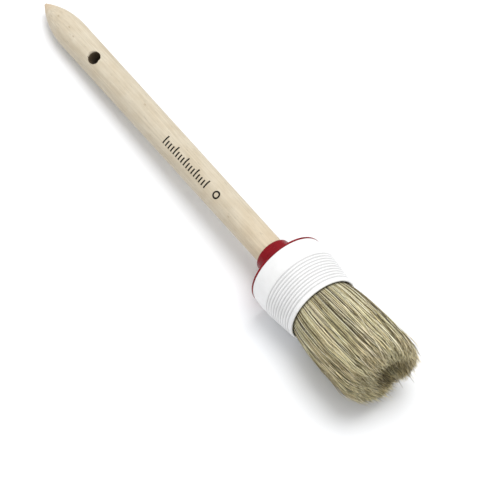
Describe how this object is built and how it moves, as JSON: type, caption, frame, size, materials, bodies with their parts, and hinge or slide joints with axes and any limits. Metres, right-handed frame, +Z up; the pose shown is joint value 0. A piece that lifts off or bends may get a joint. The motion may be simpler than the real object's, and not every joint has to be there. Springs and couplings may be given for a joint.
{
  "type": "round paint brush",
  "caption": "Round ring brush with a turned wooden handle, red collar, white ribbed ferrule and natural bristles; lies on its side.",
  "frame": {"origin": "on the ground under the middle of the brush as it lies at rest", "axes": "+X runs from the handle's pointed end towards the bristles, +Z is up; the brush's own axis rises a few degrees towards the bristles, because it rests on the ferrule and the handle's shoulder"},
  "size_m": [0.2828, 0.0392, 0.0421],
  "materials": {
    "raw_wood": "satin",
    "red_plastic": "gloss",
    "white_plastic": "satin",
    "setting_compound": "matte",
    "spacer_wood": "matte",
    "bristle": "satin"
  },
  "bodies": {
    "grip": {"handle": "raw_wood", "collar": "red_plastic", "ferrule_sleeve": "white_plastic", "root_setting": "setting_compound", "ring_spacer": "spacer_wood", "bristle_heel": "bristle"},
    "belly": {"bristle_belly": "bristle"},
    "tips": {"bristle_tips": "bristle"}
  },
  "joints": [
    {"name": "belly_bend", "type": "hinge", "parent": "grip", "child": "belly", "pos_m": [0.08663, 0, 0.02043], "axis": [0, 1, 0], "range_deg": [-20, 20], "stiffness_Nm_per_rad": 0.6},
    {"name": "tips_bend", "type": "hinge", "parent": "belly", "child": "tips", "pos_m": [0.10759, 0, 0.02175], "axis": [-0.0627, 0, 0.998], "range_deg": [-20, 20], "stiffness_Nm_per_rad": 0.4}
  ]
}
